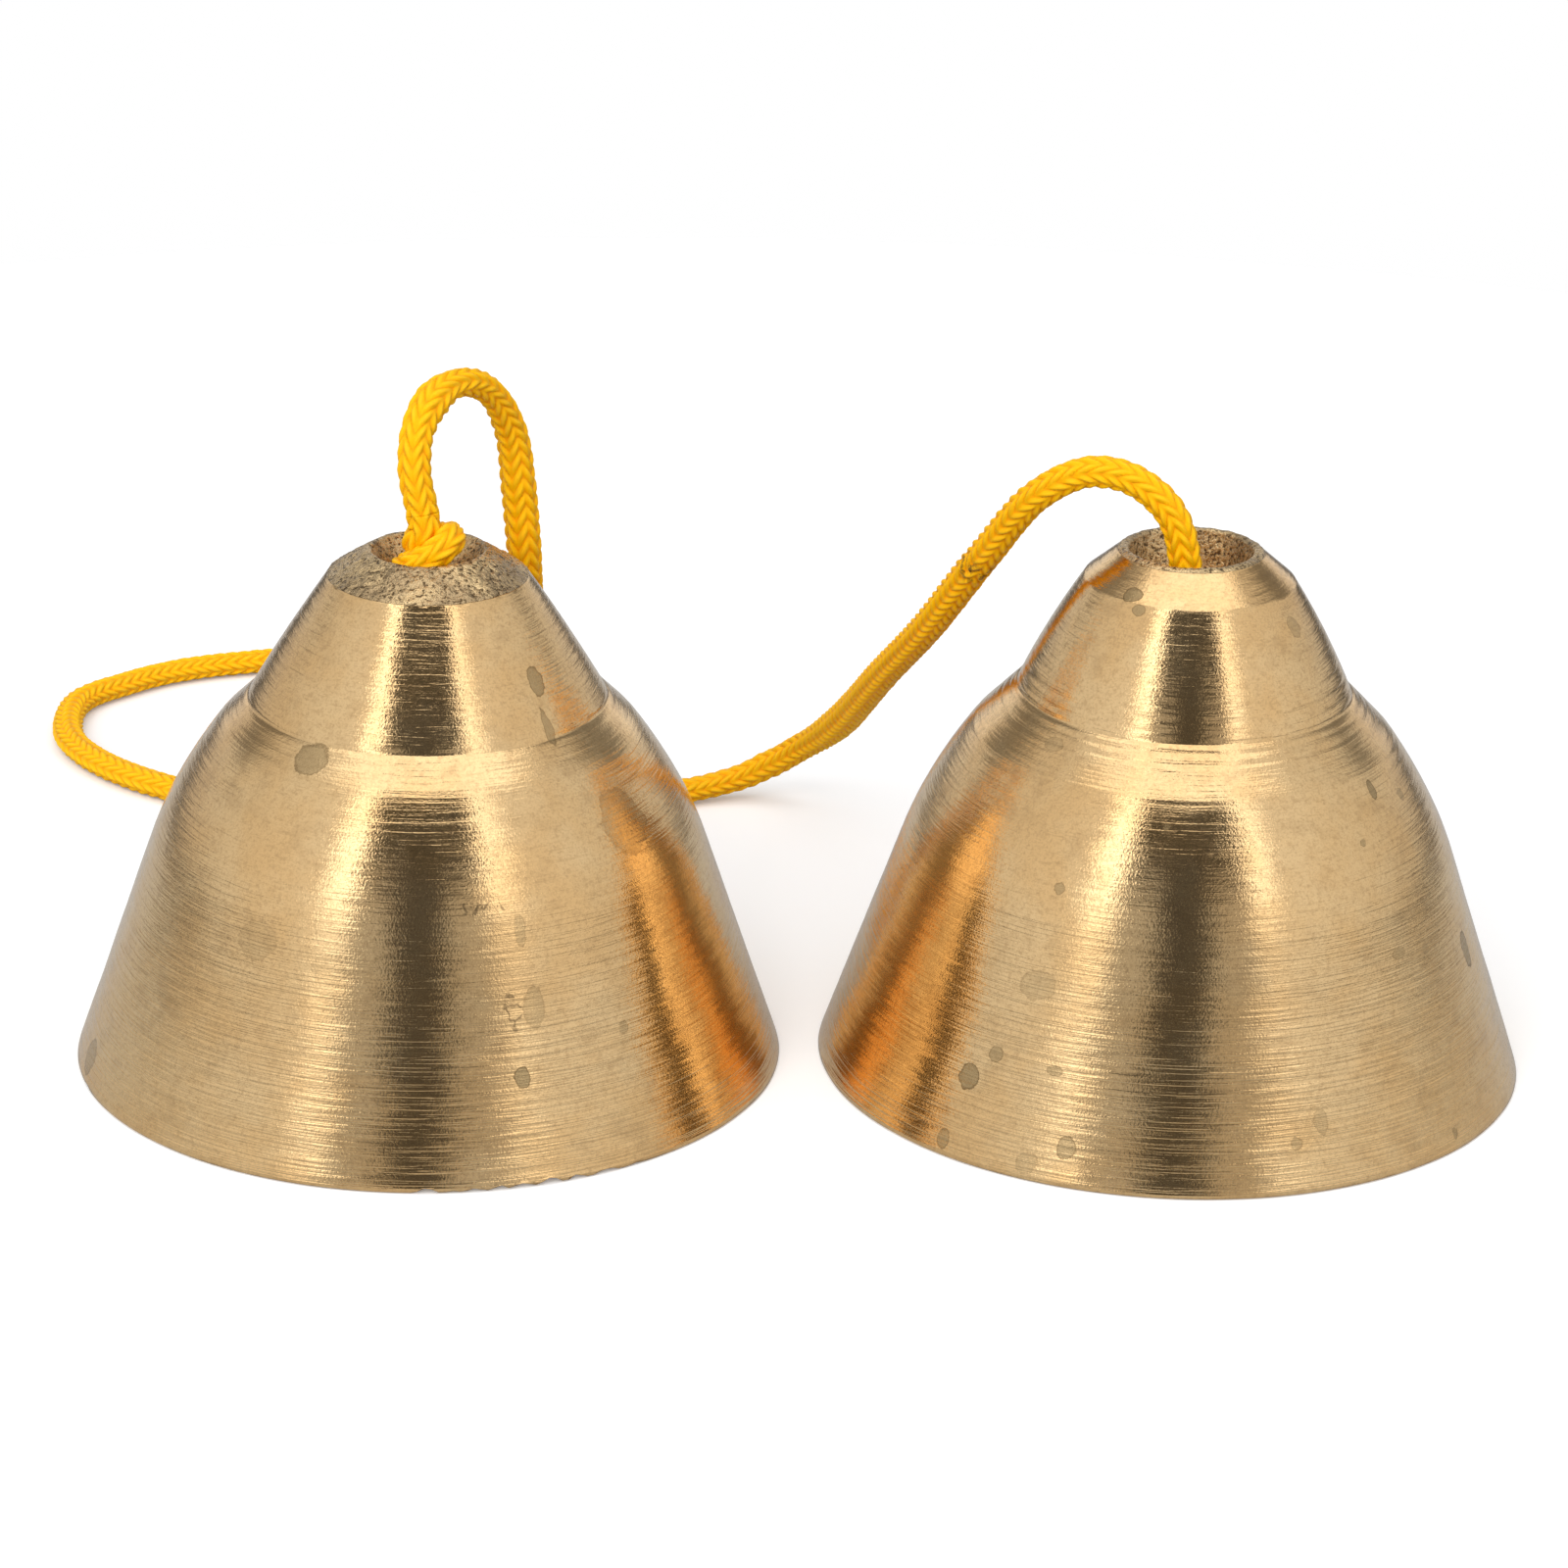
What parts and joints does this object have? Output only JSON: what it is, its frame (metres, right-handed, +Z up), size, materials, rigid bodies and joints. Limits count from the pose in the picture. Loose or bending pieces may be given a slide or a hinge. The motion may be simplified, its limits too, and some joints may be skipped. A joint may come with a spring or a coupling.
{
  "type": "finger cymbals",
  "caption": "Pair of bell-shaped cast and turned brass finger cymbals standing on their rims, joined by one knotted yellow knitted cord through their crowns",
  "frame": {"origin": "on the table, midway between the two cymbals, at the bottom centre of their box without the cord", "axes": "+Z up along both cymbals' bores, +X from the left cymbal towards the right one, +Y to the back, where the cord lies"},
  "size_m": [0.1359, 0.1254, 0.0582],
  "materials": {
    "left_brass": "turned cast brass, fine lathe lines, rough cast cap, light tarnish spots",
    "right_brass": "turned cast brass, fine lathe lines, light tarnish spots",
    "cord_knit": "golden yellow knitted synthetic cord, slightly fuzzy",
    "melted_tip": "heat-sealed cord end, darker and glossy"
  },
  "bodies": {
    "cord": {"cord_run": "cord_knit", "left_throat_knot": "cord_knit", "left_neck": "cord_knit"},
    "left_knot": {"left_stop_knot": "cord_knit", "left_tail": "cord_knit", "left_tail_tip": "melted_tip"},
    "right_knot": {"right_stop_knot": "cord_knit", "right_tail": "cord_knit", "right_tail_tip": "melted_tip"},
    "left_cup": {"left_cymbal": "left_brass"},
    "right_cup": {"right_cymbal": "right_brass"}
  },
  "joints": [
    {"name": "left_cup_turn", "type": "hinge", "parent": "cord", "child": "left_knot", "pos_m": [-0.0316, -0.001, 0.0302], "axis": [0, 0, 1], "continuous": true},
    {"name": "left_cup_slide", "type": "slide", "parent": "left_knot", "child": "left_cup", "axis": [0, 0, -1], "range_m": [0, 0.0051]},
    {"name": "right_cup_turn", "type": "hinge", "parent": "cord", "child": "right_knot", "pos_m": [0.0316, 0.001, 0.0282], "axis": [0, 0, 1], "continuous": true},
    {"name": "right_cup_slide", "type": "slide", "parent": "right_knot", "child": "right_cup", "axis": [0, 0, -1], "range_m": [0, 0.0071]}
  ]
}
